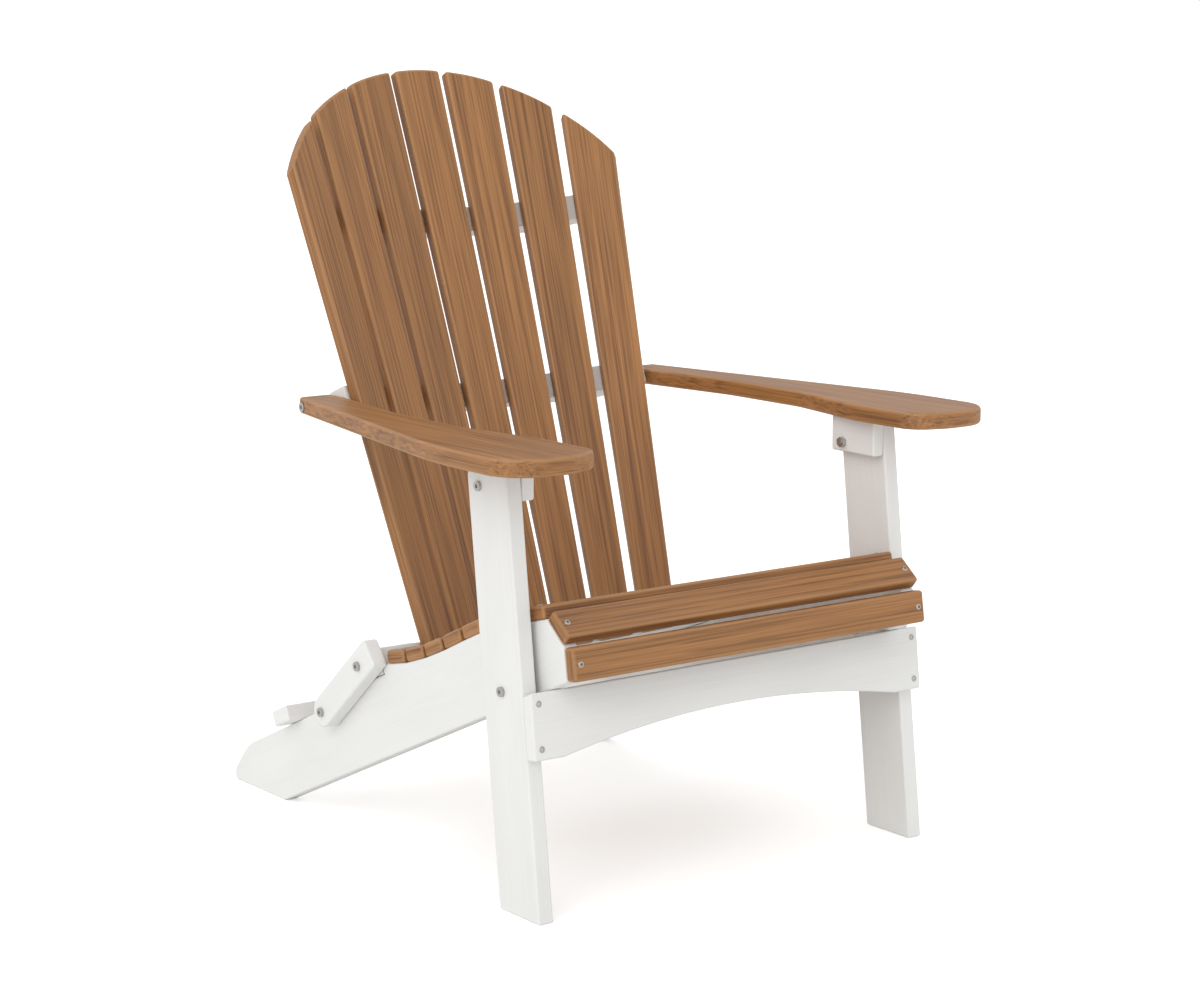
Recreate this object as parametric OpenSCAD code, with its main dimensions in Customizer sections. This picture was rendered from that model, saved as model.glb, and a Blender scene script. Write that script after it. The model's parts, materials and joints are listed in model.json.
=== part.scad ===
// Folding adirondack chair in plastic lumber, millimetres.
// +Z is up, the chair faces -Y and +X is the sitter's left.
// The origin is on the floor, in the middle of the chair's width and depth.
// Side outlines are drawn as [y, z] from the front feet's leading corner, then moved to the origin.

/* [Boards] */
// Thickness of the stringers, legs, arms, link bars and crossbar
board_t = 23.6; // [20:0.1:29]
// Thickness of the slats, apron and arm blocks
slat_t = 19; // [15:0.5:23]
// Width of each front leg and height of the apron
leg_w = 88.9; // [74:0.1:107]
// Width of the link bars and the crossbar
bar_w = 44.4; // [37:0.1:54]

/* [Seat] */
// Width over the two stringers
seat_w = 603.2; // [500:1:725]
// Width of each seat slat
seat_slat_w = 44.4; // [37:0.1:54]
// Gap between seat slats
seat_slat_gap = 6.4; // [3:0.1:10]
// Height of the underside of the stringers at the nose
nose_h = 319.4; // [300:0.1:340]
// How far the stringers' nose stands in front of the feet
nose_reach = 16.4; // [5:0.1:30]
// Slope of the stringers' straight underside, in degrees
stringer_slope = 24.05; // [22:0.05:26]
// Width of the stringers behind the back
stringer_rear_w = 101.6; // [90:0.1:120]
// Distance from the feet's leading corner to the stringers' tails
tail_reach = 848; // [830:1:1020]

/* [Back] */
// Lean of the back from upright, in degrees
back_lean = 21; // [15:0.5:25]
// Height of the middle back slat, from the bottom rail's underside
back_h = 899.5; // [750:0.5:1080]
// Radius of the arched top of the back
back_arch_r = 335; // [320:1:420]
// Gap between back slats
back_gap = 10.2; // [6:0.1:16]
// Angle between neighbouring back slats, in plan
slat_turn = 7.3; // [5:0.1:8]
// Fan of the back: added pitch of the slats for each millimetre up the back
back_fan = 0.0277; // [0.02:0.0001:0.032]
// Thickness of the three curved back rails
back_rail_t = 38.1; // [32:0.1:46]
// Depth of the back rails at their deepest
back_rail_w = 88.9; // [80:0.1:107]
// Height of the top rail above the bottom rail
top_rail_s = 648; // [560:1:680]

/* [Arms and legs] */
// Height of the top of the arms
arm_h = 617.5; // [560:0.5:700]
// Reach of the arms in front of the feet
arm_reach = 57; // [30:1:80]
// Greatest overhang of the arms past the stringers
arm_overhang = 110.4; // [90:0.1:130]
// Lean of the front legs, in degrees
leg_lean = 6.87; // [4:0.01:9]
// Gap between a stringer and a front leg, filled by a spacer
leg_gap = 8.5; // [6:0.1:12]
// Height of the leg pivot
leg_pivot_h = 293.8; // [285:0.1:305]
// Rise of the arch in the apron's lower edge
apron_arch = 28; // [10:1:40]
// Distance between the two pivots of a link bar
link_len = 132.5; // [125:0.5:150]

/* [Fasteners and fits] */
// Radius of the pivot bolts
bolt_r = 4; // [3:0.1:5]
// Radial clearance of a hole that turns on a bolt
run_gap = 0.06; // [0.02:0.01:0.1]
// Radius of the wood screws
screw_r = 2.2; // [1.8:0.1:2.8]
// Clearance between faces that slide past each other
face_gap = 0.4; // [0.3:0.1:1]
// Clearance where a piece comes to rest against another
rest_gap = 0.5; // [0.3:0.1:1]

/* [Hidden] */
$fn = 48;

ROOT = ["left_stringer", "right_stringer", "rear_crossbar", "seat_slat_screws", "crossbar_screws",
        "leg_pivot_bolts", "leg_pivot_nuts", "leg_pivot_spacers", "link_pivot_bolts", "link_pivot_nuts"];
SEAT_SLATS = [for (i = [1:10]) str("seat_slat_", i)];
LINKS = ["left_link_bar", "right_link_bar"];
BACK_SLATS = [for (i = [1:7]) str("back_slat_", i)];
BACK = ["top_back_rail", "middle_back_rail", "bottom_back_rail", "back_slat_screws",
        "arm_rear_bolts", "link_top_bolts"];
ARMS = ["left_arm", "right_arm", "left_arm_block", "right_arm_block", "arm_block_screws",
        "arm_front_nuts"];
LEGS = ["left_front_leg", "right_front_leg", "front_apron", "apron_screws", "arm_front_bolts"];

BROWN = "#9a6b42";
WHITE = "#e5e5e4";
STEEL = "#c8c8c6";

// Widths across the chair, from the middle plane
stringer_out = seat_w / 2;
stringer_in = stringer_out - board_t;
stringer_mid = stringer_out - board_t / 2;
leg_in = stringer_out + leg_gap;
leg_out = leg_in + board_t;
leg_mid = leg_in + board_t / 2;
link_in = stringer_out + face_gap;
link_out = link_in + board_t - face_gap;
block_out = leg_in - face_gap;
block_in = block_out - slat_t;

arm_inner_front = stringer_out - 37.6;
arm_inner_rear = stringer_out - 34.6;
arm_waist = stringer_out - 10.6;
arm_outer_rear = stringer_out + 16;
arm_head_seat = arm_outer_rear + 1;
arm_widest = stringer_out + arm_overhang;

// Bolt heads, nuts and screw heads
head_r = bolt_r + 2.6;
head_h = 3.6;
socket_r = 2.9;
socket_h = 2.2;
nut_r = bolt_r + 3.5;
nut_h = 6.5;
washer_r = bolt_r + 5.5;
screw_head_r = screw_r + 2.2;
screw_head_h = 2.6;
screw_len = 45;

// Seat line: slope of each facet that a slat lies on, down to the rear; the first two rise
seat_drop = [-81.3, -38.5, 15, 16, 18, 24, 25, 22.5, 18.5, 12.5];
facet_spare = [1.2, 3.5];
function facet_len(i) = seat_slat_w + (i < 2 ? facet_spare[i] : seat_slat_gap);
function along(a, d) = d * [cos(a), -sin(a)];
function seat_pt(i) = i == 0 ? [-nose_reach, nose_h] : seat_pt(i - 1) + along(seat_drop[i - 1], facet_len(i - 1));
seat_end = seat_pt(10);
function underside_z(y) = nose_h - (y + nose_reach) * tan(stringer_slope);
foot_front = nose_h / tan(stringer_slope) - nose_reach;

// Slat pitch: seven slats share the seat's width less a margin at the level of the bottom rail
back_margin = 154;
pitch_0 = (seat_w - back_margin) / 7;

// Back frame: x across, y = n to the rear, z = s up the back, from the link bar's upper pivot.
// It stands back by as much as the outer slats step forward, so that they clear the last seat slat.
outer_step = step_ratio(3) * pitch_0;
back_pivot = seat_end + [outer_step - 1.23, -6.8];
link_pivot = back_pivot + along(40.6, link_len);
slat_front_n = 18.1;
rail_front_n = -22;
rail_back_n = rail_front_n + back_rail_w;
rail_half_t = back_rail_t / 2;
function back_pt(n, s) = back_pivot + along(back_lean, n) + s * [sin(back_lean), cos(back_lean)];

// Arms: the rear pivot is in the end of the middle rail
arm_under = arm_h - board_t;
arm_pivot_n = 11.1;
arm_pivot_drop = 13;
mid_rail_s = (arm_h - arm_pivot_drop - back_pivot[1] + arm_pivot_n * sin(back_lean)) / cos(back_lean);
arm_rear_pivot = back_pt(arm_pivot_n, mid_rail_s);
arm_rear = arm_rear_pivot[0] + 14;

// Legs: places are [across from the front edge, up the leg], turned by the lean
leg_top = arm_under - 2;
function leg_pt(v, u) = [v * cos(leg_lean) + u * sin(leg_lean), -v * sin(leg_lean) + u * cos(leg_lean)];
leg_pivot_v = leg_w / 2 + 1;
leg_pivot = leg_pt(leg_pivot_v, (leg_pivot_h + leg_pivot_v * sin(leg_lean)) / cos(leg_lean));
arm_pivot_v = leg_w - 25.5;
arm_pivot_below = 36;
arm_front_pivot = leg_pt(arm_pivot_v, (leg_top - arm_pivot_below + arm_pivot_v * sin(leg_lean)) / cos(leg_lean));
leg_top_r = 25;

// Middle of the chair's depth, which becomes y = 0
mid_y = (tail_reach - arm_reach) / 2;

// Polygon with rounded corners: each point is [x, y, radius]
function unit(v) = v / norm(v);
function corner_arc(a, q, b, r, steps = 8) =
    let (u = unit([a[0] - q[0], a[1] - q[1]]), v = unit([b[0] - q[0], b[1] - q[1]]))
    let (half = acos(u * v) / 2, q2 = [q[0], q[1]])
    let (centre = q2 + unit(u + v) * r / sin(half))
    let (p = q2 + u * r / tan(half) - centre, e = q2 + v * r / tan(half) - centre)
    let (from = atan2(p[1], p[0]), turn = atan2(e[1], e[0]) - from)
    let (sweep = turn > 180 ? turn - 360 : turn < -180 ? turn + 360 : turn)
    [for (k = [0:steps]) centre + r * [cos(from + sweep * k / steps), sin(from + sweep * k / steps)]];
function rounded(pts) = [for (i = [0:len(pts) - 1])
    let (a = pts[(i + len(pts) - 1) % len(pts)], b = pts[(i + 1) % len(pts)])
    each pts[i][2] > 0 ? corner_arc(a, pts[i], b, pts[i][2]) : [[pts[i][0], pts[i][1]]]];

// Moves side outlines and back pieces from the feet's corner to the chair's origin
module from_feet() { translate([0, -mid_y, 0]) children(); }

// Board whose [y, z] outline is given, from x0 outwards by t
module side_board(x0, t) {
    from_feet() translate([x0, 0, 0]) rotate([90, 0, 90]) linear_extrude(t) children();
}

// Cylinder along x from x0 to x1 through the side point p
module cross_pin(p, r, x0, x1) {
    from_feet() translate([x0, p[0], p[1]]) rotate([0, 90, 0]) cylinder(r = r, h = x1 - x0);
}

// Both sides of the chair
module both() {
    children();
    mirror([1, 0, 0]) children();
}

// Bolt head with a hexagon socket, its underside at x0
module bolt_head(p, x0) {
    difference() {
        cross_pin(p, head_r, x0, x0 + head_h);
        from_feet() translate([x0 + head_h - socket_h, p[0], p[1]]) rotate([0, 90, 0])
            cylinder(r = socket_r, h = socket_h + 1, $fn = 6);
    }
}

// Hexagon nut on the inner side of x1
module hex_nut(p, x1, bore_r) {
    difference() {
        from_feet() translate([x1 - nut_h, p[0], p[1]]) rotate([0, 90, 0])
            cylinder(r = nut_r, h = nut_h, $fn = 6);
        if (bore_r > 0) cross_pin(p, bore_r, x1 - nut_h - 1, x1 + 1);
    }
}

// Screw pointing down, its flush head at z = 0; grow opens its hole by that much
module screw(len = screw_len) {
    translate([0, 0, -screw_head_h]) cylinder(r = screw_head_r, h = screw_head_h);
    translate([0, 0, -len]) cylinder(r = screw_r, h = len - screw_head_h);
}

// ---- Seat frame ----

// Stringer from the side: nose, facets under the slats, seat for the bottom rail, hump over the
// link pivot, then straight to a rounded tail that lies flat on the floor
module stringer_outline() {
    step_n = rail_front_n - 4;
    rail_under = -rail_half_t - rest_gap;
    hump = link_pivot + 20 * [sin(stringer_slope), cos(stringer_slope)];
    join_y = link_pivot[0] + 52;
    bend_y = tail_reach - 38.9;
    rise = stringer_rear_w / cos(stringer_slope);
    upper = concat(
        [for (i = [0:10]) seat_pt(i)],
        [back_pt(step_n, -4), back_pt(step_n, rail_under), back_pt(rail_back_n + 3, rail_under)],
        [hump, hump + along(stringer_slope, 16), [join_y, underside_z(join_y) + rise]]
    );
    tail = [
        [bend_y, underside_z(bend_y) + rise, 100],
        [tail_reach, 16.4, 20],
        [tail_reach, 0, 8],
        [foot_front, 0, 0]
    ];
    polygon(rounded(concat([for (p = upper) [p[0], p[1], 0]], tail)));
}

// Places its children on facet i of the seat line, on the slat's top face
module on_facet(i) {
    mid = (seat_pt(i - 1) + seat_pt(i)) / 2;
    from_feet() translate([0, mid[0], mid[1]]) rotate([-seat_drop[i - 1], 0, 0])
        translate([0, 0, slat_t]) children();
}

module seat_screws() {
    for (i = [1:10], side = [-1, 1]) on_facet(i) translate([side * stringer_mid, 0, 0]) screw();
}

module stringer() {
    color(WHITE) difference() {
        side_board(stringer_in, board_t) stringer_outline();
        seat_screws();
        crossbar_screw_pair();
        cross_pin(leg_pivot, bolt_r, stringer_in - 1, stringer_out + 1);
        cross_pin(link_pivot, bolt_r, stringer_in - 1, stringer_out + 1);
    }
}

module left_stringer() { stringer(); }
module right_stringer() { mirror([1, 0, 0]) stringer(); }

// One seat slat; its ends stay just inside the stringers' outer faces
module seat_slat(i) {
    len = seat_w - 2 * face_gap;
    color(BROWN) difference() {
        on_facet(i) translate([-len / 2, -seat_slat_w / 2, -slat_t]) cube([len, seat_slat_w, slat_t]);
        for (side = [-1, 1]) on_facet(i) translate([side * stringer_mid, 0, 0]) screw();
    }
}

module seat_slat_screws() { color(STEEL) seat_screws(); }

// Places its children on the crossbar's top face, which lies on the stringers' rear edges
module on_crossbar() {
    y = link_pivot[0] + 113;
    z = underside_z(y) + stringer_rear_w / cos(stringer_slope);
    from_feet() translate([0, y, z]) rotate([-stringer_slope, 0, 0]) translate([0, 0, board_t]) children();
}

module crossbar_screw_pair() {
    for (side = [-1, 1]) on_crossbar() translate([side * stringer_mid, 0, 0]) screw();
}

module rear_crossbar() {
    color(WHITE) difference() {
        on_crossbar() translate([-link_out, -bar_w / 2, -board_t]) cube([2 * link_out, bar_w, board_t]);
        crossbar_screw_pair();
    }
}

module crossbar_screws() { color(STEEL) crossbar_screw_pair(); }

// Bolts that the front legs turn on, held by nuts inside the stringers
module leg_pivot_bolts() {
    color(STEEL) both() union() {
        cross_pin(leg_pivot, bolt_r, stringer_in - nut_h - 1.5, leg_out + rest_gap);
        bolt_head(leg_pivot, leg_out + rest_gap);
    }
}

module leg_pivot_nuts() { color(STEEL) both() hex_nut(leg_pivot, stringer_in, bolt_r); }

// Spacers between the stringers and the front legs
module leg_pivot_spacers() {
    color(STEEL) both() difference() {
        cross_pin(leg_pivot, washer_r, stringer_out, leg_in - face_gap);
        cross_pin(leg_pivot, bolt_r, stringer_out - 1, leg_in);
    }
}

// Bolts that the link bars' lower ends turn on
module link_pivot_bolts() {
    color(STEEL) both() union() {
        cross_pin(link_pivot, bolt_r, stringer_in - nut_h - 1.5, link_out + rest_gap);
        bolt_head(link_pivot, link_out + rest_gap);
    }
}

module link_pivot_nuts() { color(STEEL) both() hex_nut(link_pivot, stringer_in, bolt_r); }

// ---- Link bars ----

module link_bar() {
    beyond = 38;
    half = bar_w / 2;
    axis_angle = 180 - 40.6;
    color(WHITE) difference() {
        side_board(link_in, link_out - link_in) translate(link_pivot) rotate(axis_angle) union() {
            circle(r = half);
            polygon(rounded([
                [0, -half, 0],
                [link_len + beyond, -half, 7],
                [link_len + beyond, half, 7],
                [0, half, 0]
            ]));
        }
        cross_pin(link_pivot, bolt_r + run_gap, link_in - 1, link_out + 1);
        cross_pin(back_pivot, bolt_r + run_gap, link_in - 1, link_out + 1);
    }
}

module left_link_bar() { link_bar(); }
module right_link_bar() { mirror([1, 0, 0]) link_bar(); }

// ---- Back ----

// Places its children in the back frame
module in_back() {
    from_feet() translate([0, back_pivot[0], back_pivot[1]]) rotate([-back_lean, 0, 0]) children();
}

function pitch(s) = pitch_0 + back_fan * s;
function back_slat_w(s) = pitch(s) - back_gap;

// Forward step of slat j per unit of pitch, so that neighbouring slats' planes meet in the gaps
function step_ratio(j) = j == 0 ? 0 : step_ratio(j - 1) + (tan(slat_turn * (j - 1)) + tan(slat_turn * j)) / 2;
function side_of(j) = j < 0 ? -1 : 1;

// Places its children on slat j's front face at the bottom: j runs from -3 to 3 and 0 is the middle
module on_back_slat(j) {
    ahead = step_ratio(abs(j));
    translate([j * pitch_0, slat_front_n - ahead * pitch_0, 0])
        rotate([atan(ahead * back_fan), atan(j * back_fan), 0]) rotate([0, 0, -slat_turn * j]) children();
}

back_top_s = back_h - rail_half_t;

// Space under the arched top, as deep as the whole back
module arch_space() {
    arch_centre = back_top_s - back_arch_r;
    translate([0, 200, 0]) rotate([90, 0, 0]) linear_extrude(400) union() {
        translate([0, arch_centre]) circle(r = back_arch_r, $fn = 180);
        translate([-back_arch_r, -rail_half_t]) square([2 * back_arch_r, arch_centre + rail_half_t]);
    }
}

// Screws through the rails into the slats from behind, deep in pockets where the rail is deep
module rail_screw(j, s, pocket = 0) {
    grip = 28;
    bite = 12;
    back_n = slat_front_n - step_ratio(abs(j)) * pitch(s) + slat_t / cos(slat_turn * j);
    translate([j * pitch(s), back_n + grip, s]) rotate([-90, 0, 0]) {
        screw(grip + bite);
        if (pocket > 0) cylinder(r = screw_head_r + 0.5, h = pocket);
    }
}

module back_slat(k) {
    j = k - 4;
    over = 60;
    half_low = back_slat_w(-over) / 2;
    half_top = back_slat_w(back_h) / 2;
    color(BROWN) in_back() difference() {
        intersection() {
            on_back_slat(j) translate([0, slat_t, 0]) rotate([90, 0, 0]) linear_extrude(slat_t)
                polygon([[-half_low, -over], [half_low, -over], [half_top, back_h], [-half_top, back_h]]);
            arch_space();
        }
        for (s = [0, mid_rail_s, top_rail_s]) rail_screw(j, s);
    }
}

// Everything in front of the slats' back faces
module slats_space(reach) {
    intersection_for(j = [-3:3])
        on_back_slat(j) translate([-600, -600, -100]) cube([1200, 600 + slat_t, reach]);
}

// Back rail at height s whose outline in plan is its children
module back_rail(s) {
    color(WHITE) in_back() difference() {
        translate([0, 0, s - rail_half_t]) linear_extrude(back_rail_t) children();
        slats_space(back_h + 200);
        for (j = [-3:3]) rail_screw(j, s, back_rail_w);
    }
}

module rail_plan(half, rear_half, rear_r) {
    polygon(rounded([
        [-half, rail_front_n, 3],
        [half, rail_front_n, 3],
        [half, rail_front_n + 45, 20],
        [rear_half, rail_back_n, rear_r],
        [-rear_half, rail_back_n, rear_r],
        [-half, rail_front_n + 45, 20]
    ]));
}

mid_rail_half = arm_inner_rear - rest_gap;
bottom_rail_half = stringer_out - rest_gap;
top_rail_half = 3 * pitch(top_rail_s) + 6;
bottom_bolt_bite = 46;
mid_bolt_bite = 32;

module bottom_back_rail() {
    difference() {
        back_rail(0) rail_plan(bottom_rail_half, bottom_rail_half - 10, 12);
        both() cross_pin(back_pivot, bolt_r, bottom_rail_half - bottom_bolt_bite, bottom_rail_half + 1);
    }
}

module middle_back_rail() {
    difference() {
        back_rail(mid_rail_s) rail_plan(mid_rail_half, mid_rail_half - 40, 20);
        both() cross_pin(arm_rear_pivot, bolt_r, mid_rail_half - mid_bolt_bite, mid_rail_half + 1);
    }
}

module top_back_rail() { back_rail(top_rail_s) rail_plan(top_rail_half, top_rail_half - 60, 25); }

module back_slat_screws() {
    color(STEEL) in_back() for (s = [0, mid_rail_s, top_rail_s], j = [-3:3]) rail_screw(j, s);
}

// Bolts through the link bars into the ends of the bottom rail
module link_top_bolts() {
    color(STEEL) both() union() {
        cross_pin(back_pivot, bolt_r, bottom_rail_half - bottom_bolt_bite, link_out + rest_gap);
        bolt_head(back_pivot, link_out + rest_gap);
    }
}

// Bolts through the rear ends of the arms into the ends of the middle rail
module arm_rear_bolts() {
    color(STEEL) both() union() {
        cross_pin(arm_rear_pivot, bolt_r, mid_rail_half - mid_bolt_bite, arm_head_seat + rest_gap);
        bolt_head(arm_rear_pivot, arm_head_seat + rest_gap);
    }
}

// ---- Arms ----

// Outline of the arm in plan, as [x, y] from the middle plane and the feet's corner
module arm_plan() {
    polygon(rounded([
        [arm_inner_front, -arm_reach + 18, 40],
        [arm_inner_front + 55, -arm_reach, 60],
        [arm_widest, -arm_reach, 62],
        [arm_widest, 0.2 * arm_rear, 600],
        [arm_outer_rear, arm_rear, 5],
        [arm_inner_rear, arm_rear, 5],
        [arm_inner_rear, arm_rear - 45, 120],
        [arm_waist, 0.64 * arm_rear, 200],
        [arm_waist, 0.38 * arm_rear, 160],
        [arm_inner_front, 0.14 * arm_rear, 200]
    ]));
}

module arm() {
    color(BROWN) difference() {
        from_feet() translate([0, 0, arm_under]) linear_extrude(board_t) arm_plan();
        cross_pin(arm_rear_pivot, bolt_r + run_gap, arm_inner_rear - 1, arm_head_seat + 20);
        cross_pin(arm_rear_pivot, head_r + 0.8, arm_head_seat, arm_head_seat + 40);
        block_screw_pair();
    }
}

module left_arm() { arm(); }
module right_arm() { mirror([1, 0, 0]) arm(); }

block_len = leg_w;
block_h = 52.3;
block_front = arm_front_pivot[0] - block_len / 2 - 19.5;

module block_screw_pair() {
    for (share = [0.2, 0.8])
        from_feet() translate([(block_in + block_out) / 2, block_front + share * block_len, arm_under - block_h])
            rotate([180, 0, 0]) screw(block_h + board_t / 2);
}

module arm_block() {
    color(WHITE) difference() {
        from_feet() translate([block_in, block_front, arm_under - block_h])
            cube([slat_t, block_len, block_h]);
        cross_pin(arm_front_pivot, bolt_r, block_in - 1, block_out + 1);
        block_screw_pair();
    }
}

module left_arm_block() { arm_block(); }
module right_arm_block() { mirror([1, 0, 0]) arm_block(); }
module arm_block_screws() { color(STEEL) both() block_screw_pair(); }

// Nuts on the arm blocks, each with the end of its bolt inside the block
module arm_front_nuts() {
    color(STEEL) both() union() {
        hex_nut(arm_front_pivot, block_in, 0);
        cross_pin(arm_front_pivot, bolt_r, block_in - nut_h - 1.5, block_out);
    }
}

// ---- Front legs ----

// Leaning leg, level at the foot and at the top, round where the arm swings over it
module leg_outline() {
    lean_y = leg_top * tan(leg_lean);
    foot_w = leg_w / cos(leg_lean);
    polygon(rounded([
        [0, 0, 0],
        [foot_w, 0, 0],
        [lean_y + foot_w, leg_top, leg_top_r],
        [lean_y, leg_top, 0]
    ]));
}

module front_leg() {
    color(WHITE) difference() {
        side_board(leg_in, board_t) leg_outline();
        cross_pin(leg_pivot, bolt_r + run_gap, leg_in - 1, leg_out + 1);
        cross_pin(arm_front_pivot, bolt_r, leg_in - 1, leg_out + 1);
        apron_screw_set();
    }
}

module left_front_leg() { front_leg(); }
module right_front_leg() { mirror([1, 0, 0]) front_leg(); }

// Places its children on the apron's front face: z runs up the leg from the apron's lower edge
apron_low = (215.5 - slat_t * sin(leg_lean)) / cos(leg_lean);
module on_apron() {
    from_feet() rotate([-leg_lean, 0, 0]) translate([0, -slat_t, apron_low]) children();
}

module apron_screw_set() {
    for (side = [-1, 1], z = [0.17, 0.83])
        on_apron() translate([side * leg_mid, 0, z * leg_w]) rotate([90, 0, 0]) screw();
}

// Apron across the legs, arched below, its top edge sloped to meet the stringers' undersides
module front_apron() {
    arch_half = stringer_out - 16.6;
    arch_r = (arch_half * arch_half + apron_arch * apron_arch) / (2 * apron_arch);
    color(WHITE) difference() {
        on_apron() translate([-leg_out, 0, 0]) cube([2 * leg_out, slat_t, leg_w]);
        on_apron() translate([0, -1, apron_arch - arch_r]) rotate([-90, 0, 0])
            cylinder(r = arch_r, h = slat_t + 2, $fn = 180);
        from_feet() translate([-leg_out - 1, -nose_reach, nose_h - rest_gap / cos(stringer_slope)])
            rotate([-stringer_slope, 0, 0]) translate([0, -40, 0]) cube([2 * leg_out + 2, 200, 60]);
        apron_screw_set();
    }
}

module apron_screws() { color(STEEL) apron_screw_set(); }

// Bolts through the leg tops that carry the fronts of the arms
module arm_front_bolts() {
    color(STEEL) both() union() {
        cross_pin(arm_front_pivot, bolt_r, leg_in, leg_out);
        bolt_head(arm_front_pivot, leg_out);
    }
}

left_stringer();
right_stringer();
rear_crossbar();
seat_slat_screws();
crossbar_screws();
leg_pivot_bolts();
leg_pivot_nuts();
leg_pivot_spacers();
link_pivot_bolts();
link_pivot_nuts();
for (i = [1:10]) seat_slat(i);
left_link_bar();
right_link_bar();
for (i = [1:7]) back_slat(i);
top_back_rail();
middle_back_rail();
bottom_back_rail();
back_slat_screws();
arm_rear_bolts();
link_top_bolts();
left_arm();
right_arm();
left_arm_block();
right_arm_block();
arm_block_screws();
arm_front_nuts();
left_front_leg();
right_front_leg();
front_apron();
apron_screws();
arm_front_bolts();
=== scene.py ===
"""Looks of a folding adirondack chair in plastic lumber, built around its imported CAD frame."""

import json
import math

import bmesh
import bpy
from bpy.props import FloatProperty, FloatVectorProperty, IntProperty, PointerProperty
from bpy.types import Operator, Panel, PropertyGroup
from mathutils import Matrix, Vector

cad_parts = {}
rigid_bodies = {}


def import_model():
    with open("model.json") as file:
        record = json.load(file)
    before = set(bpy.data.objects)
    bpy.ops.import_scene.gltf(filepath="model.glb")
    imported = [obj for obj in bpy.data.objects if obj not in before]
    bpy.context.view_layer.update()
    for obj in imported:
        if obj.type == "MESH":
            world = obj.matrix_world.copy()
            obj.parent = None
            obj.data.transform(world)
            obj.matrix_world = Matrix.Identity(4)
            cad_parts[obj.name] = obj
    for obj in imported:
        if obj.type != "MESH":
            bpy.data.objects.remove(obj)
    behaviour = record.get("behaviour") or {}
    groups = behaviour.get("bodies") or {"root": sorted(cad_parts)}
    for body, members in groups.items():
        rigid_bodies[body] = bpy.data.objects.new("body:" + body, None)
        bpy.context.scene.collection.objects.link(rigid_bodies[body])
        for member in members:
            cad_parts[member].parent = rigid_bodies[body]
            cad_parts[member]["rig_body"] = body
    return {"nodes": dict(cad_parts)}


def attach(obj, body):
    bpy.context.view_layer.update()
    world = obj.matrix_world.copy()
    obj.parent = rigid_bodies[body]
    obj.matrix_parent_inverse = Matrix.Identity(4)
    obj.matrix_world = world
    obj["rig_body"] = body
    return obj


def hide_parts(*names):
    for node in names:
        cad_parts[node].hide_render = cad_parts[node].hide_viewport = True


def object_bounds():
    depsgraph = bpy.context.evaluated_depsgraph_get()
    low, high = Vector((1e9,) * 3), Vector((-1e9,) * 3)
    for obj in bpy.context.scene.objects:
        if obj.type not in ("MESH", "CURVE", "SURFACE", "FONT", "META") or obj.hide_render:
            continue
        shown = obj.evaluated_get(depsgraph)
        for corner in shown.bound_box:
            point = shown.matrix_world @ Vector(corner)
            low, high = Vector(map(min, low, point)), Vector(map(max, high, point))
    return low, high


bl_info = {
    "name": "Folding Adirondack Chair",
    "version": (1, 0, 0),
    "blender": (4, 5, 0),
    "location": "3D View > Sidebar > Adirondack",
    "description": "Rounds, grains and lights the boards and fasteners of a folding garden chair",
    "category": "Object",
}

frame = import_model()
CAD_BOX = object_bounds()

MM = 0.001
SQUARE_MM = MM * MM
WELD = 0.01 * MM                      # corners nearer than this are one corner
FLAT_ANGLE = math.radians(0.3)        # faces this near to one plane are one face
SMOOTH_ANGLE = math.radians(20)       # the facets of a bore meet at less than this
CORNER_ANGLE = math.radians(28)       # a board's edges sharper than this are rounded
STEEL_CORNER_ANGLE = math.radians(35)
CREASE_ANGLE = math.radians(32)       # edges sharper than this stay a crease in the shading
LARGEST_BORE_WALL = 3000 * SQUARE_MM
BORE_BALANCE = 0.15                   # share of its area to which a bore's normals cancel
SMALL_REGION = 260 * SQUARE_MM        # floors and rims of counterbores are smaller

ACROSS_CHAIR = (1, 0, 0)
FRONT_TO_BACK = (0, 1, 0)
DOWN_STRINGER = (0, 0.913, -0.408)
UP_LEG = (0, 0.12, 0.993)

END_SHARE = 0.3                       # of a board's length, whose corners count as one end

STREAK_SHIFT = (0.37, 0.053, 0.031)   # metres from one board's streaks to the next board's
TONE_SPREAD, TONE_STEP = 0.05, 2.4    # boards vary by this share, in steps of this many radians
HDPE_IOR = 1.54


# ---- Colours and small mesh helpers ----

def linear(hex_code):
    """sRGB hex colour as linear RGBA."""
    parts = [int(hex_code[i:i + 2], 16) / 255 for i in (1, 3, 5)]
    return [c / 12.92 if c <= 0.04045 else ((c + 0.055) / 1.055) ** 2.4 for c in parts] + [1.0]


def colour_property(name, description, hex_code):
    """Colour setting whose default is an sRGB hex colour."""
    return FloatVectorProperty(
        name=name, description=description, default=linear(hex_code)[:3],
        subtype="COLOR", min=0.0, max=1.0,
    )


def body_of_node(node):
    """Name of the moving body that a CAD node rides on."""
    return frame["nodes"][node]["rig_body"]


def add_piece(name, bm, materials, body, replaces=()):
    """Turns a bmesh into a smooth-shaded piece that rides on a body."""
    wide = [f for f in bm.faces if len(f.verts) > 4]
    bmesh.ops.triangulate(bm, faces=wide, quad_method="BEAUTY", ngon_method="EAR_CLIP")
    mesh = bpy.data.meshes.new(name)
    bm.to_mesh(mesh)
    bm.free()
    for material in materials:
        mesh.materials.append(material)
    mesh.shade_smooth()
    mesh.set_sharp_from_angle(angle=CREASE_ANGLE)
    piece = bpy.data.objects.new(name, mesh)
    bpy.context.scene.collection.objects.link(piece)
    normals = piece.modifiers.new("Flat faces stay flat", "WEIGHTED_NORMAL")
    normals.keep_sharp = True
    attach(piece, body)
    if replaces:
        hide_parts(*replaces)
    return piece


# ---- Settings ----

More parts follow.
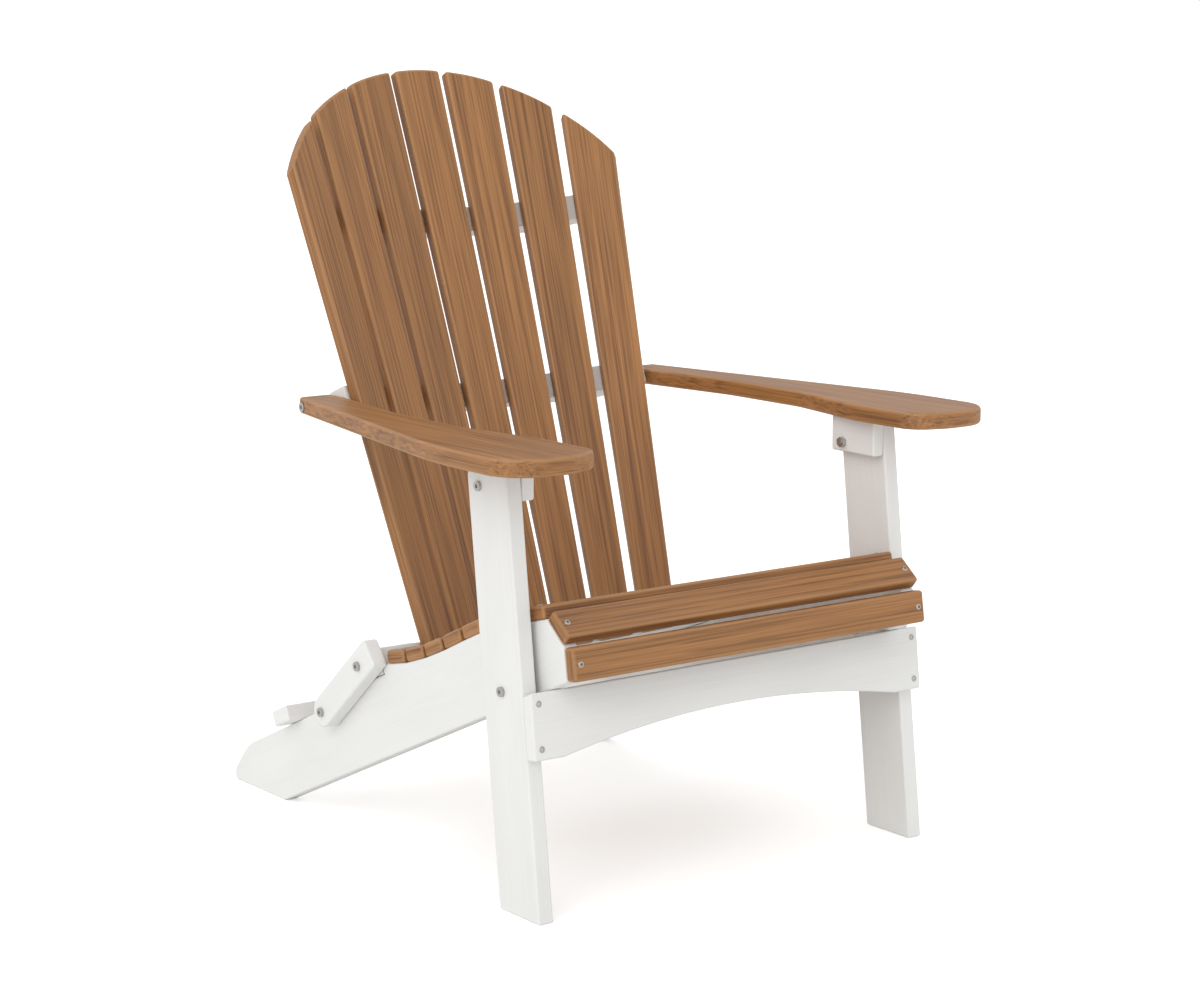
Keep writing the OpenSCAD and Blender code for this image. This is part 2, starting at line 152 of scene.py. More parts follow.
class LumberSettings(PropertyGroup):
    """Sizes and colours of the plastic-lumber boards."""

    brown_edge: FloatProperty(
        name="Brown edge radius", description="Rounding of the brown boards' edges",
        default=4.5 * MM, min=1 * MM, max=8 * MM, subtype="DISTANCE", unit="LENGTH")
    white_edge: FloatProperty(
        name="White edge radius", description="Rounding of the white boards' edges",
        default=3.2 * MM, min=1 * MM, max=6 * MM, subtype="DISTANCE", unit="LENGTH")
    rail_edge: FloatProperty(
        name="Rail edge radius",
        description="Rounding of the back rails' edges, less than their corners",
        default=2.2 * MM, min=1 * MM, max=2.8 * MM, subtype="DISTANCE", unit="LENGTH")
    edge_steps: IntProperty(
        name="Edge steps", description="Facets across each rounded edge", default=4, min=2, max=8)
    brown_mid: colour_property("Brown", "Main colour of the brown boards", "#976839")
    brown_light: colour_property("Light streak", "Lighter streaks in the brown boards", "#AD7845")
    brown_dark: colour_property("Dark streak", "Darker streaks in the brown boards", "#774C2A")
    brown_vein: colour_property("Vein", "Thin darkest veins in the brown boards", "#573620")
    # Colour of the painted highlight on the rounded edges of the brown boards
    brown_painted_highlight: colour_property("Painted edge highlight", "Paler brown of the routed edges", "#B98A5C")
    white_main: colour_property("White", "Main colour of the white boards", "#EBEBE9")
    white_shade: colour_property("White shade", "Faint streaks in the white boards", "#E6E6E4")
    streak_length: FloatProperty(
        name="Streak length", description="Length of the streaks along a board",
        default=520 * MM, subtype="DISTANCE", unit="LENGTH")
    band_width: FloatProperty(
        name="Band width", description="Width of the broad, faint bands of tone",
        default=22 * MM, subtype="DISTANCE", unit="LENGTH")
    streak_width: FloatProperty(
        name="Streak width", description="Distance between the main streaks across a board",
        default=4.2 * MM, subtype="DISTANCE", unit="LENGTH")
    line_width: FloatProperty(
        name="Line width", description="Distance between the fine embossed lines",
        default=2.4 * MM, subtype="DISTANCE", unit="LENGTH")


class HardwareSettings(PropertyGroup):
    """Sizes and colours of the stainless steel fasteners."""

    steel: colour_property("Steel", "Colour of the stainless steel", "#C4C2BD")
    dome: FloatProperty(
        name="Screw dome", description="Height of a screw's domed head above the board",
        default=1.1 * MM, subtype="DISTANCE", unit="LENGTH")
    brush_width: FloatProperty(
        name="Brush mark width", description="Spacing of the brush marks, coarser than real ones",
        default=0.3 * MM, subtype="DISTANCE", unit="LENGTH")


class StageSettings(PropertyGroup):
    """Camera, floor and lights."""

    azimuth: FloatProperty(
        name="Azimuth", description="Camera's turn about the chair, 0 looks along +Y",
        default=math.radians(-36.65), subtype="ANGLE", unit="ROTATION")
    elevation: FloatProperty(
        name="Elevation", description="Camera's height above the horizon",
        default=math.radians(9.96), subtype="ANGLE", unit="ROTATION")
    distance: FloatProperty(
        name="Distance", description="Camera's distance from its aim",
        default=3.981, subtype="DISTANCE", unit="LENGTH")
    aim: FloatVectorProperty(
        name="Aim", description="Camera's aim from the middle of the chair's box",
        default=(0.030, -0.0375, -0.0684), subtype="TRANSLATION", unit="LENGTH")
    lens: FloatProperty(
        name="Lens", description="Focal length of the camera on a 36 mm sensor, in millimetres",
        default=83.33, min=20.0, max=200.0)
    floor: colour_property("Floor", "Colour of the plain pale floor", "#F4F4F3")
    floor_glow: FloatProperty(
        name="Floor lift",
        description="Added white of the studio floor, as if it were lit from below",
        default=0.42)
    key_light: FloatProperty(
        name="Key light", description="Strength of the broad soft light from the left",
        default=0.55)
    sky: FloatProperty(
        name="Surround", description="Strength of the even white surround", default=0.89)


# ---- Materials ----

def add_node(tree, kind, links=None, settings=None):
    """Adds a shader node; links maps an input's name or number to a value or another socket."""
    node = tree.nodes.new(kind)
    for key, value in (settings or {}).items():
        setattr(node, key, value)
    for key, value in (links or {}).items():
        socket = node.inputs[key]
        if isinstance(value, bpy.types.NodeSocket):
            tree.links.new(value, socket)
        else:
            socket.default_value = value
    return node


def new_material(name):
    """Empty node material and its Principled BSDF."""
    material = bpy.data.materials.new(name)
    material.use_nodes = True
    tree = material.node_tree
    tree.nodes.clear()
    shader = add_node(tree, "ShaderNodeBsdfPrincipled")
    add_node(tree, "ShaderNodeOutputMaterial", {"Surface": shader.outputs["BSDF"]})
    return material, tree, shader


def board_place(tree, centre, axes):
    """Place in a board's own frame: X along it, Y across its width, Z through its thickness."""
    place = add_node(tree, "ShaderNodeTexCoord").outputs["Object"]
    return add_node(tree, "ShaderNodeMapping", {
        "Vector": place, "Location": centre, "Rotation": axes.to_euler(),
    }, {"vector_type": "TEXTURE"}).outputs["Vector"]


def streaks(tree, place, stretch, detail=2.0, roughness=0.5, distortion=0.0):
    """Noise whose grains measure stretch (metres along, across and through the board)."""
    scaled = add_node(tree, "ShaderNodeVectorMath", {
        0: place, 1: [1 / s for s in stretch]}, {"operation": "MULTIPLY"}).outputs[0]
    return add_node(tree, "ShaderNodeTexNoise", {
        "Vector": scaled, "Scale": 1.0, "Detail": detail, "Roughness": roughness,
        "Distortion": distortion}).outputs["Fac"]


def on_cut_ends(tree, axes):
    """1 on the faces that look along the board, 0 on its long faces.

    The normal is in the world's axes, so this holds only while the board's body is at rest.
    """
    normal = add_node(tree, "ShaderNodeNewGeometry").outputs["Normal"]
    facing = add_node(tree, "ShaderNodeVectorMath", {
        0: normal, 1: axes.col[0]}, {"operation": "DOT_PRODUCT"}).outputs["Value"]
    size = add_node(tree, "ShaderNodeMath", {0: facing}, {"operation": "ABSOLUTE"}).outputs[0]
    return add_node(tree, "ShaderNodeMapRange", {
        "Value": size, "From Min": 0.5, "From Max": 0.8}).outputs["Result"]


def finish_surface(tree, shader, colour, gloss, height, strength, depth):
    """Leads the colour, the gloss and the bumps of a surface into its shader."""
    bump = add_node(tree, "ShaderNodeBump", {
        "Height": height, "Strength": strength, "Distance": depth})
    tree.links.new(colour, shader.inputs["Base Color"])
    tree.links.new(gloss, shader.inputs["Roughness"])
    tree.links.new(bump.outputs["Normal"], shader.inputs["Normal"])


def brown_lumber(name, centre, axes, tone):
    """High-density polyethylene lumber, extruded from mixed browns and embossed.

    The mixed melt gives long fine streaks with thin dark veins, and the embossing a matt, finely
    lined skin. The rounded edges carry a painted highlight: their brown is mixed a little paler.
    """
    lumber = bpy.context.scene.chair_lumber
    material, tree, shader = new_material(name)
    shader.inputs["IOR"].default_value = HDPE_IOR
    length = lumber.streak_length
    band, streak, line = lumber.band_width, lumber.streak_width, lumber.line_width
    place = board_place(tree, centre, axes)
    ends = on_cut_ends(tree, axes)

    def grain(along, across, detail, roughness, distortion=0.0):
        """Streaks along the long faces, and the cut layers of the same melt on the ends."""
        side = streaks(tree, place, (along, across, across), detail, roughness, distortion)
        end = streaks(tree, place, (across, along * 0.4, across), detail, roughness, distortion)
        return add_node(tree, "ShaderNodeMix", {
            "Factor": ends, "A": side, "B": end}).outputs["Result"]

    bands = grain(length, band, 2.0, 0.5)
    main = grain(length * 0.8, streak, 3.0, 0.6, 0.15)
    fine = grain(length * 0.3, line, 2.0, 0.6)
    vein = grain(length * 0.6, streak * 1.25, 2.0, 0.55, 0.1)
    broad = add_node(tree, "ShaderNodeMix", {
        "Factor": 0.3, "A": main, "B": bands}).outputs["Result"]
    mixed = add_node(tree, "ShaderNodeMix", {
        "Factor": 0.35, "A": broad, "B": fine}).outputs["Result"]
    ramp = add_node(tree, "ShaderNodeValToRGB", {"Fac": mixed})
    stops = ramp.color_ramp.elements
    colours = (lumber.brown_dark, lumber.brown_mid, lumber.brown_light)
    stops[0].position, stops[1].position = 0.39, 0.60
    middle = stops.new(0.485)
    for stop, colour in zip((stops[0], middle, stops[2]), colours):
        stop.color = [c * tone for c in colour] + [1.0]
    thin = add_node(tree, "ShaderNodeMapRange", {
        "Value": vein, "From Min": 0.57, "From Max": 0.67, "To Min": 0.0, "To Max": 0.42,
    }).outputs["Result"]
    veined = add_node(tree, "ShaderNodeMix", {
        "Factor": thin, "A": ramp.outputs["Color"], "B": list(lumber.brown_vein) + [1.0],
    }, {"data_type": "RGBA"}).outputs[2]
    # Painted highlight: the faces that round_edges marked are mixed towards a paler brown
    routed = add_node(
        tree, "ShaderNodeAttribute", None, {"attribute_name": "routed"}).outputs["Fac"]
    pale = add_node(
        tree, "ShaderNodeMath", {0: routed, 1: 0.42}, {"operation": "MULTIPLY"}).outputs[0]
    colour = add_node(tree, "ShaderNodeMix", {
        "Factor": pale, "A": veined, "B": list(lumber.brown_painted_highlight) + [1.0],
    }, {"data_type": "RGBA"}).outputs[2]
    gloss = add_node(tree, "ShaderNodeMapRange", {
        "Value": fine, "From Min": 0.3, "From Max": 0.7, "To Min": 0.42, "To Max": 0.56,
    }).outputs["Result"]
    finish_surface(tree, shader, colour, gloss, fine, strength=0.5, depth=0.3 * MM)
    return material


def white_lumber(name, centre, axes):
    """High-density polyethylene lumber, extruded in one white and brushed along its length.

    One even, slightly warm white with a satin skin; the brushing leaves faint lines along the
    board.
    """
    lumber = bpy.context.scene.chair_lumber
    material, tree, shader = new_material(name)
    shader.inputs["IOR"].default_value = HDPE_IOR
    length, line = lumber.streak_length, lumber.line_width
    place = board_place(tree, centre, axes)
    lines = streaks(tree, place, (length * 0.3, line * 0.8, line * 0.8), 3.0, 0.55)
    cloud = streaks(tree, place, (length * 0.3, length * 0.1, length * 0.1))
    mixed = add_node(tree, "ShaderNodeMix", {
        "Factor": 0.5, "A": lines, "B": cloud}).outputs["Result"]
    amount = add_node(tree, "ShaderNodeMapRange", {
        "Value": mixed, "From Min": 0.4, "From Max": 0.65,
    }).outputs["Result"]
    colour = add_node(tree, "ShaderNodeMix", {
        "Factor": amount, "A": list(lumber.white_main) + [1.0],
        "B": list(lumber.white_shade) + [1.0],
    }, {"data_type": "RGBA"}).outputs[2]
    gloss = add_node(tree, "ShaderNodeMapRange", {
        "Value": lines, "From Min": 0.3, "From Max": 0.7, "To Min": 0.38, "To Max": 0.5,
    }).outputs["Result"]
    finish_surface(tree, shader, colour, gloss, lines, strength=0.25, depth=0.1 * MM)
    return material


def stainless_steel(name):
    """Cold-headed stainless steel, tumbled: a soft grey metal with fine marks and dull edges."""
    hardware = bpy.context.scene.chair_hardware
    material, tree, shader = new_material(name)
    shader.inputs["Metallic"].default_value = 1.0
    place = add_node(tree, "ShaderNodeTexCoord").outputs["Object"]
    marks = add_node(tree, "ShaderNodeTexNoise", {
        "Vector": place, "Scale": 1 / (hardware.brush_width * 4), "Detail": 4.0, "Roughness": 0.65,
    }).outputs["Fac"]
    colour = add_node(tree, "ShaderNodeMix", {
        "Factor": marks, "A": [c * 0.8 for c in hardware.steel] + [1.0],
        "B": list(hardware.steel) + [1.0],
    }, {"data_type": "RGBA"}).outputs[2]
    gloss = add_node(tree, "ShaderNodeMapRange", {
        "Value": marks, "From Min": 0.3, "From Max": 0.7, "To Min": 0.24, "To Max": 0.42,
    }).outputs["Result"]
    finish_surface(tree, shader, colour, gloss, marks, strength=0.2, depth=0.04 * MM)
    return material


# ---- Boards: CAD outlines with their fastener holes plugged and their edges rounded ----

def face_regions(bm):
    """Groups of faces with no sharp edge between them, and the group number of each face."""
    group_of, groups = {}, []
    for start in bm.faces:
        if start in group_of:
            continue
        group_of[start] = len(groups)
        stack, members = [start], []
        while stack:
            face = stack.pop()
            members.append(face)
            for edge in face.edges:
                if len(edge.link_faces) != 2 or edge.calc_face_angle() > SMOOTH_ANGLE:
                    continue
                for other in edge.link_faces:
                    if other not in group_of:
                        group_of[other] = len(groups)
                        stack.append(other)
        groups.append(members)
    return groups, group_of


def is_bore_wall(faces):
    """True for the wall of a small hole: its normals point all round and cancel."""
    area = sum(f.calc_area() for f in faces)
    total = sum((f.normal * f.calc_area() for f in faces), Vector())
    return area < LARGEST_BORE_WALL and total.length < BORE_BALANCE * area


def plug_bores(bm):
    """Removes screw and bolt holes, which their fasteners fill, and closes the faces over them."""
    groups, group_of = face_regions(bm)
    bores = {i for i, faces in enumerate(groups) if is_bore_wall(faces)}
    floors = set()
    for i, faces in enumerate(groups):
        around = {group_of[f] for face in faces for e in face.edges for f in e.link_faces} - {i}
        if i not in bores and around and around <= bores:
            floors.add(i)
    doomed = [face for i in bores | floors for face in groups[i]]
    bmesh.ops.delete(bm, geom=doomed, context="FACES")
    rims = [e for e in bm.edges if e.is_boundary]
    bmesh.ops.holes_fill(bm, edges=rims, sides=0)


def plain_board(node):
    """Mesh of a CAD board with clean faces and without its fastener holes."""
    bm = bmesh.new()
    bm.from_mesh(frame["nodes"][node].data)
    bmesh.ops.remove_doubles(bm, verts=bm.verts, dist=WELD)
    plug_bores(bm)
    bmesh.ops.dissolve_limit(bm, angle_limit=FLAT_ANGLE, verts=bm.verts, edges=bm.edges)
    bmesh.ops.connect_verts_concave(bm, faces=bm.faces)
    bmesh.ops.recalc_face_normals(bm, faces=bm.faces)
    return bm


def round_edges(bm, radius, steps):
    """Rounds every sharp edge, apart from the rims of counterbores, and marks the rounded faces as
    the mask of the brown boards' painted edge highlight.
    """
    groups, group_of = face_regions(bm)
    small = {i for i, faces in enumerate(groups)
             if sum(f.calc_area() for f in faces) < SMALL_REGION}
    sharp = [e for e in bm.edges
             if len(e.link_faces) == 2 and e.calc_face_angle() > CORNER_ANGLE
             and not any(group_of[f] in small for f in e.link_faces)]
    made = bmesh.ops.bevel(
        bm, geom=sharp, offset=radius, offset_type="OFFSET", segments=steps,
        profile=0.5, affect="EDGES", clamp_overlap=False)
    rounded = set(made["faces"])
    # Mask of the painted edge highlight: 1 where a corner lies wholly inside the rounded faces
    routed = bm.loops.layers.float.new("routed")
    for face in rounded:
        for loop in face.loops:
            inner = all(f in rounded for f in loop.vert.link_faces)
            loop[routed] = 1.0 if inner else 0.0


def board_axes(bm, direction):
    """Rotation whose X axis runs along the board and whose Y axis runs across its width."""
    along = Vector(direction).normalized()
    first = along.orthogonal().normalized()
    second = along.cross(first)
    centre = sum((v.co for v in bm.verts), Vector()) / len(bm.verts)
    spots = [((v.co - centre).dot(first), (v.co - centre).dot(second)) for v in bm.verts]
    spread = sum(a * a - b * b for a, b in spots)
    twist = sum(2 * a * b for a, b in spots)
    angle = math.atan2(twist, spread) / 2
    across = first * math.cos(angle) + second * math.sin(angle)
    return Matrix((along, across, along.cross(across))).transposed()


def long_direction(bm):
    """Direction from one end of a board to the other, between the middles of its end corners."""
    corners = [v.co.copy() for v in bm.verts]
    centre = sum(corners, Vector()) / len(corners)
    far = max(corners, key=lambda c: (c - centre).length)
    guess = (far - centre).normalized()
    reach = [(c - centre).dot(guess) for c in corners]
    span = max(reach) - min(reach)
    first = [c for c, r in zip(corners, reach) if r > max(reach) - span * END_SHARE]
    last = [c for c, r in zip(corners, reach) if r < min(reach) + span * END_SHARE]
    return sum(first, Vector()) / len(first) - sum(last, Vector()) / len(last)


def board_number(node):
    """Steady number of a node, which shifts its streaks so that no two boards match."""
    return sorted(frame["nodes"]).index(node)


def numbered_slats(start):
    """Nodes of one kind of slat, such as seat_slat_1 to seat_slat_10."""
    return sorted(n for n in frame["nodes"] if n.startswith(start) and n[-1].isdigit())


def build_board(node, colour, direction=None, radius=None):
    """Rounded board in brown or white lumber that stands for a CAD node."""
    lumber = bpy.context.scene.chair_lumber
    radius = radius or (lumber.brown_edge if colour == "brown" else lumber.white_edge)
    bm = plain_board(node)
    axes = board_axes(bm, direction or long_direction(bm))
    number = board_number(node)
    centre = axes @ Vector([shift * number for shift in STREAK_SHIFT])
    round_edges(bm, radius, lumber.edge_steps)
    if colour == "brown":
        tone = 1 + TONE_SPREAD * math.sin(TONE_STEP * number)
        material = brown_lumber(f"brown_hdpe_{node}", centre, axes, tone)
    else:
        material = white_lumber(f"white_hdpe_{node}", centre, axes)
    return add_piece(
        f"{node}_board", bm, [material], body_of_node(node), [node])


# ---- Fasteners ----

THREAD_PITCH = 2.2 * MM
HEAD_RIM = 0.9 * MM                   # depths below the board: the head's widest ring,
HEAD_UNDERSIDE = 1.2 * MM             # its underside
SHANK_TOP = 1.3 * MM                  # and the upper end of the shank, just under it
RECESS_DEPTH = 1.4 * MM
HEAD_END = 1.5 * MM                   # corners this near to a screw's end belong to that end


def separate_solids(node):
    """Vertex positions of each separate solid in a CAD node."""
    bm = bmesh.new()
    bm.from_mesh(frame["nodes"][node].data)
    bmesh.ops.remove_doubles(bm, verts=bm.verts, dist=WELD)
    seen, found = set(), []
    for start in bm.verts:
        if start in seen:
            continue
        seen.add(start)
        stack, points = [start], []
        while stack:
            vert = stack.pop()
            points.append(vert.co.copy())
            for edge in vert.link_edges:
                other = edge.other_vert(vert)
                if other not in seen:
                    seen.add(other)
                    stack.append(other)
        found.append(points)
    bm.free()
    return found


def screw_place(points):
    """Middle of a screw head's top, the direction out of it and the head's radius."""
    centre = sum(points, Vector()) / len(points)
    far = max(points, key=lambda p: (p - centre).length)
    guess = (far - centre).normalized()
    reach = [(p - centre).dot(guess) for p in points]
    ends = []
    for limit in (max(reach), min(reach)):
        ring = [p for p, r in zip(points, reach) if abs(r - limit) < HEAD_END]
        middle = sum(ring, Vector()) / len(ring)
        ends.append((max((p - middle).length for p in ring), middle))
    (radius, head), (_, tip) = sorted(ends, key=lambda end: -end[0])
    out = (head - tip).normalized()
    height = max((p - tip).dot(out) for p in points)
    return tip + out * height, out, radius


def ring_of_corners(bm, place, radius, height, sides):
    """Ring of new corners about the Z axis of place; radius is a number or a list of them."""
    radii = radius if isinstance(radius, list) else [radius] * sides
    turns = [math.tau * k / sides for k in range(sides)]
    return [bm.verts.new(place @ Vector((r * math.cos(a), r * math.sin(a), height)))
            for r, a in zip(radii, turns)]


def skin(bm, rings, sides):
    """Faces between each ring and the next; a ring of one corner is a point."""
    for low, high in zip(rings, rings[1:]):
        for k in range(sides):
            n = k + 1
            corners = (low[k % len(low)], low[n % len(low)],
                       high[n % len(high)], high[k % len(high)])
            bm.faces.new(dict.fromkeys(corners))


def threaded_shank(bm, place, radius, length):
    """Screw shank from its point up into the head, with its thread as turned rings."""
    sides = 16
    threads = max(4, int(length / THREAD_PITCH))
    profile = [(radius * 0.3, -length * 0.97)]
    for k in range(threads * 2):
        share = (k + 1) / (threads * 2 + 1)
        profile.append((radius * (1.0 if k % 2 else 0.72), -length * (0.93 - 0.88 * share)))
    profile.append((radius, -SHANK_TOP))
    rings = [ring_of_corners(bm, place, r, h, sides) for r, h in profile]
    point = ring_of_corners(bm, place, 0, -length, 1)
    middle = ring_of_corners(bm, place, 0, -SHANK_TOP, 1)
    skin(bm, [point] + rings + [middle], sides)


def pan_head(bm, place, radius, dome):
    """Domed screw head with a six-lobed recess."""
    sides, steps, lobes = 36, 6, 6
    recess = 0.42 * radius
    shoulder = recess * 1.2
    profile = [(radius * 0.9, -HEAD_UNDERSIDE), (radius, -HEAD_RIM)]
    for k in range(steps + 1):
        angle = math.pi / 2 * k / steps
        profile.append((shoulder + (radius - shoulder) * math.cos(angle), dome * math.sin(angle)))
    rings = [ring_of_corners(bm, place, r, h, sides) for r, h in profile]
    star = [recess * (1 + 0.16 * math.cos(math.tau * lobes * k / sides)) for k in range(sides)]
    rings.append(ring_of_corners(bm, place, star, dome, sides))
    rings.append(ring_of_corners(bm, place, star, dome - RECESS_DEPTH, sides))
    skin(bm, rings, sides)
    bm.faces.new(rings[-1])
    bm.faces.new(list(reversed(rings[0])))


def head_matrix(middle, out):
    """Frame at a screw head, its Z axis pointing out of the board."""
    turn = out.to_track_quat("Z", "Y").to_matrix().to_4x4()
    return Matrix.Translation(middle) @ turn


def build_screws(node):
    """Domed screws that stand for a CAD node of plain screws."""
    hardware = bpy.context.scene.chair_hardware
    bm = bmesh.new()
    for points in separate_solids(node):
        middle, out, radius = screw_place(points)
        place = head_matrix(middle, out)
        length = max((middle - p).dot(out) for p in points)
        pan_head(bm, place, radius, hardware.dome)
        threaded_shank(bm, place, radius * 0.5, length)
    bmesh.ops.recalc_face_normals(bm, faces=bm.faces)
    return add_piece(f"{node}_domed", bm, [stainless_steel(f"stainless_{node}")],
                     body_of_node(node), [node])


def dress_steel(node):
    """Gives a CAD fastener its steel and softens its edges."""
    piece = frame["nodes"][node]
    piece.data.materials.clear()
    piece.data.materials.append(stainless_steel(f"stainless_{node}"))
    weld = piece.modifiers.new("Join corners", "WELD")
    weld.merge_threshold = WELD
    bevel = piece.modifiers.new("Soft edges", "BEVEL")
    bevel.width = 0.5 * MM
    bevel.segments = 2
    bevel.limit_method = "ANGLE"
    bevel.angle_limit = STEEL_CORNER_ANGLE


# ---- Operators ----

class CHAIR_OT_stringers(Operator):
    """Build the two white stringers, with their grain along the slope"""
    bl_idname = "chair.stringers"
    bl_label = "Stringers"

    def execute(self, context):
        for side in ("left", "right"):
            build_board(f"{side}_stringer", "white", DOWN_STRINGER)
        return {"FINISHED"}


class CHAIR_OT_seat_slats(Operator):
    """Build the ten brown seat slats, with their grain across the chair"""
    bl_idname = "chair.seat_slats"
    bl_label = "Seat slats"

    def execute(self, context):
        for node in numbered_slats("seat_slat_"):
            build_board(node, "brown", ACROSS_CHAIR)
        return {"FINISHED"}


class CHAIR_OT_back_slats(Operator):
    """Build the seven brown slats of the fanned back, each with its grain along its own line"""
    bl_idname = "chair.back_slats"
    bl_label = "Back slats"

    def execute(self, context):
        for node in numbered_slats("back_slat_"):
            build_board(node, "brown")
        return {"FINISHED"}


class CHAIR_OT_arms(Operator):
    """Build the two brown arms and the white blocks under them"""
    bl_idname = "chair.arms"
    bl_label = "Arms and blocks"

    def execute(self, context):
        for side in ("left", "right"):
            build_board(f"{side}_arm", "brown", FRONT_TO_BACK)
            build_board(f"{side}_arm_block", "white", FRONT_TO_BACK)
        return {"FINISHED"}


class CHAIR_OT_cross_boards(Operator):
    """Build the white arched front apron and rear crossbar"""
    bl_idname = "chair.cross_boards"
    bl_label = "Apron and crossbar"

    def execute(self, context):
        for node in ("front_apron", "rear_crossbar"):
            build_board(node, "white", ACROSS_CHAIR)
        return {"FINISHED"}


class CHAIR_OT_legs(Operator):
    """Build the two white front legs and the two link bars"""
    bl_idname = "chair.legs"
    bl_label = "Legs and link bars"

    def execute(self, context):
        for side in ("left", "right"):
            build_board(f"{side}_front_leg", "white", UP_LEG)
            build_board(f"{side}_link_bar", "white")
        return {"FINISHED"}


class CHAIR_OT_back_rails(Operator):
    """Build the three curved white rails behind the back"""
    bl_idname = "chair.back_rails"
    bl_label = "Back rails"

    def execute(self, context):
        edge = context.scene.chair_lumber.rail_edge
        for place in ("top", "middle", "bottom"):
            build_board(f"{place}_back_rail", "white", ACROSS_CHAIR, edge)
        return {"FINISHED"}


class CHAIR_OT_screws(Operator):
    """Build the domed stainless screws"""
    bl_idname = "chair.screws"
    bl_label = "Screws"

    def execute(self, context):
        for node in sorted(n for n in frame["nodes"] if n.endswith("_screws")):
            build_screws(node)
        return {"FINISHED"}


class CHAIR_OT_pivots(Operator):
    """Finish the pivot bolts, nuts and spacers in stainless steel"""
    bl_idname = "chair.pivots"
    bl_label = "Pivot bolts"

    def execute(self, context):
        for node in sorted(frame["nodes"]):
            if node.endswith(("_bolts", "_nuts", "_spacers")):
                dress_steel(node)
        return {"FINISHED"}


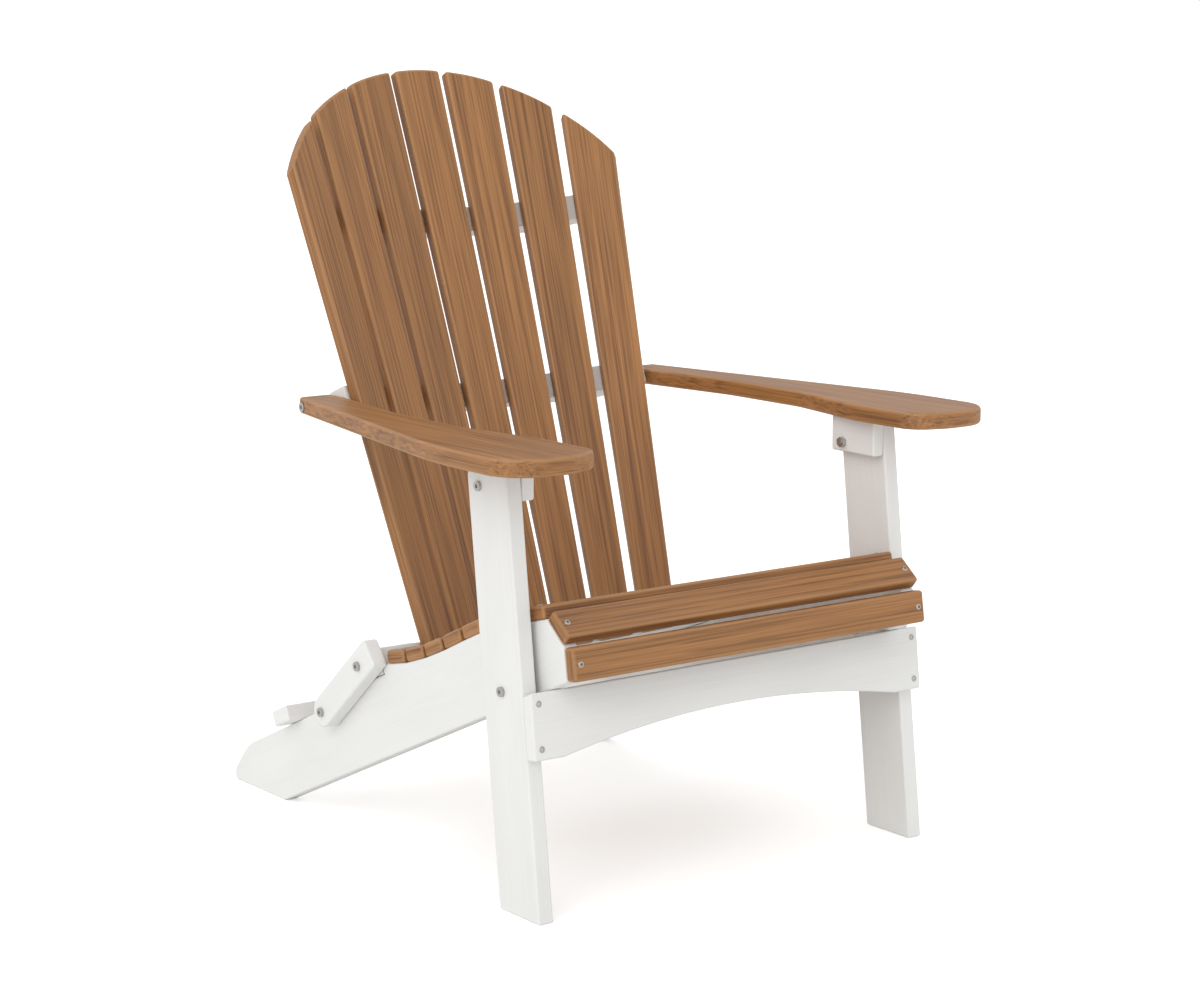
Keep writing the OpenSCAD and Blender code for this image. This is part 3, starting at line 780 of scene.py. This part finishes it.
class CHAIR_OT_stage(Operator):
    """Set the camera, the pale floor and the soft lights"""
    bl_idname = "chair.stage"
    bl_label = "Stage"

    def execute(self, context):
        stage = context.scene.chair_stage
        middle = (CAD_BOX[0] + CAD_BOX[1]) / 2
        self.add_camera(context.scene, stage, middle + Vector(stage.aim))
        self.add_floor(context.scene, stage)
        self.add_lights(context.scene, stage, middle)
        return {"FINISHED"}

    def add_camera(self, scene, stage, target):
        a, e = stage.azimuth, stage.elevation
        back = Vector((math.sin(a) * math.cos(e), -math.cos(a) * math.cos(e), math.sin(e)))
        data = bpy.data.cameras.new("camera")
        data.sensor_width = 36.0
        data.lens = stage.lens
        data.clip_end = 100.0
        camera = bpy.data.objects.new("camera", data)
        camera.rotation_mode = "QUATERNION"
        camera.location = target + back * stage.distance
        camera.rotation_quaternion = (-back).to_track_quat("-Z", "Y")
        scene.collection.objects.link(camera)
        scene.camera = camera

    def add_floor(self, scene, stage):
        half = 60.0
        flecks_per_metre = 60.0
        mesh = bpy.data.meshes.new("floor")
        corners = [(-half, -half, 0), (half, -half, 0), (half, half, 0), (-half, half, 0)]
        mesh.from_pydata(corners, [], [(0, 1, 2, 3)])
        material, tree, shader = new_material("painted_floor")
        place = add_node(tree, "ShaderNodeTexCoord").outputs["Object"]
        speckle = add_node(tree, "ShaderNodeTexNoise", {
            "Vector": place, "Scale": flecks_per_metre, "Detail": 2.0})
        tone = add_node(tree, "ShaderNodeMix", {
            "Factor": speckle.outputs["Fac"], "A": [c * 0.985 for c in stage.floor] + [1.0],
            "B": list(stage.floor) + [1.0],
        }, {"data_type": "RGBA"})
        tree.links.new(tone.outputs[2], shader.inputs["Base Color"])
        shader.inputs["Roughness"].default_value = 0.85
        shader.inputs["Specular IOR Level"].default_value = 0.0
        seen = add_node(tree, "ShaderNodeLightPath").outputs["Is Camera Ray"]
        glow = add_node(
            tree, "ShaderNodeMath", {0: seen, 1: stage.floor_glow}, {"operation": "MULTIPLY"})
        shader.inputs["Emission Color"].default_value = (1.0, 1.0, 1.0, 1.0)
        tree.links.new(glow.outputs[0], shader.inputs["Emission Strength"])
        mesh.materials.append(material)
        floor = bpy.data.objects.new("floor", mesh)
        scene.collection.objects.link(floor)

    def add_lights(self, scene, stage, middle):
        world = bpy.data.worlds.new("white_surround")
        world.use_nodes = True
        tree = world.node_tree
        tree.nodes.clear()
        seen = add_node(tree, "ShaderNodeLightPath").outputs["Is Camera Ray"]
        strength = add_node(tree, "ShaderNodeMapRange", {
            "Value": seen, "To Min": stage.sky, "To Max": 1.0})
        sky = add_node(tree, "ShaderNodeBackground", {
            "Color": (1.0, 1.0, 1.0, 1.0), "Strength": strength.outputs["Result"]})
        add_node(tree, "ShaderNodeOutputWorld", {"Surface": sky.outputs["Background"]})
        scene.world = world
        scene.view_settings.view_transform = "Standard"
        lamps = (
            ("key", (-3.0, -1.4, 2.4), 40, stage.key_light),
            ("fill", (-2.6, -1.2, 0.5), 60, stage.key_light * 0.5),
        )
        for name, offset, spread, strength in lamps:
            data = bpy.data.lights.new(name, "SUN")
            data.angle = math.radians(spread)
            data.energy = strength
            lamp = bpy.data.objects.new(name, data)
            lamp.location = middle + Vector(offset)
            lamp.rotation_mode = "QUATERNION"
            lamp.rotation_quaternion = (-Vector(offset)).to_track_quat("-Z", "Y")
            scene.collection.objects.link(lamp)


OPERATORS = (
    CHAIR_OT_stringers, CHAIR_OT_seat_slats, CHAIR_OT_back_slats, CHAIR_OT_arms,
    CHAIR_OT_cross_boards, CHAIR_OT_legs, CHAIR_OT_back_rails, CHAIR_OT_screws,
    CHAIR_OT_pivots, CHAIR_OT_stage,
)


class CHAIR_PT_panel(Panel):
    """Lists the chair's groups of pieces"""
    bl_idname = "CHAIR_PT_panel"
    bl_label = "Folding Adirondack Chair"
    bl_space_type = "VIEW_3D"
    bl_region_type = "UI"
    bl_category = "Adirondack"

    def draw(self, context):
        for operator in OPERATORS:
            self.layout.operator(operator.bl_idname)


SETTINGS = (
    ("chair_lumber", LumberSettings),
    ("chair_hardware", HardwareSettings),
    ("chair_stage", StageSettings),
)


def register():
    for name, settings in SETTINGS:
        bpy.utils.register_class(settings)
        setattr(bpy.types.Scene, name, PointerProperty(type=settings))
    for operator in OPERATORS:
        bpy.utils.register_class(operator)
    bpy.utils.register_class(CHAIR_PT_panel)


def unregister():
    bpy.utils.unregister_class(CHAIR_PT_panel)
    for operator in reversed(OPERATORS):
        bpy.utils.unregister_class(operator)
    for name, settings in reversed(SETTINGS):
        delattr(bpy.types.Scene, name)
        bpy.utils.unregister_class(settings)


def main():
    register()
    for operator in OPERATORS:
        group, action = operator.bl_idname.split(".")
        getattr(getattr(bpy.ops, group), action)()
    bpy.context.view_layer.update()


if __name__ == "__main__":
    main()
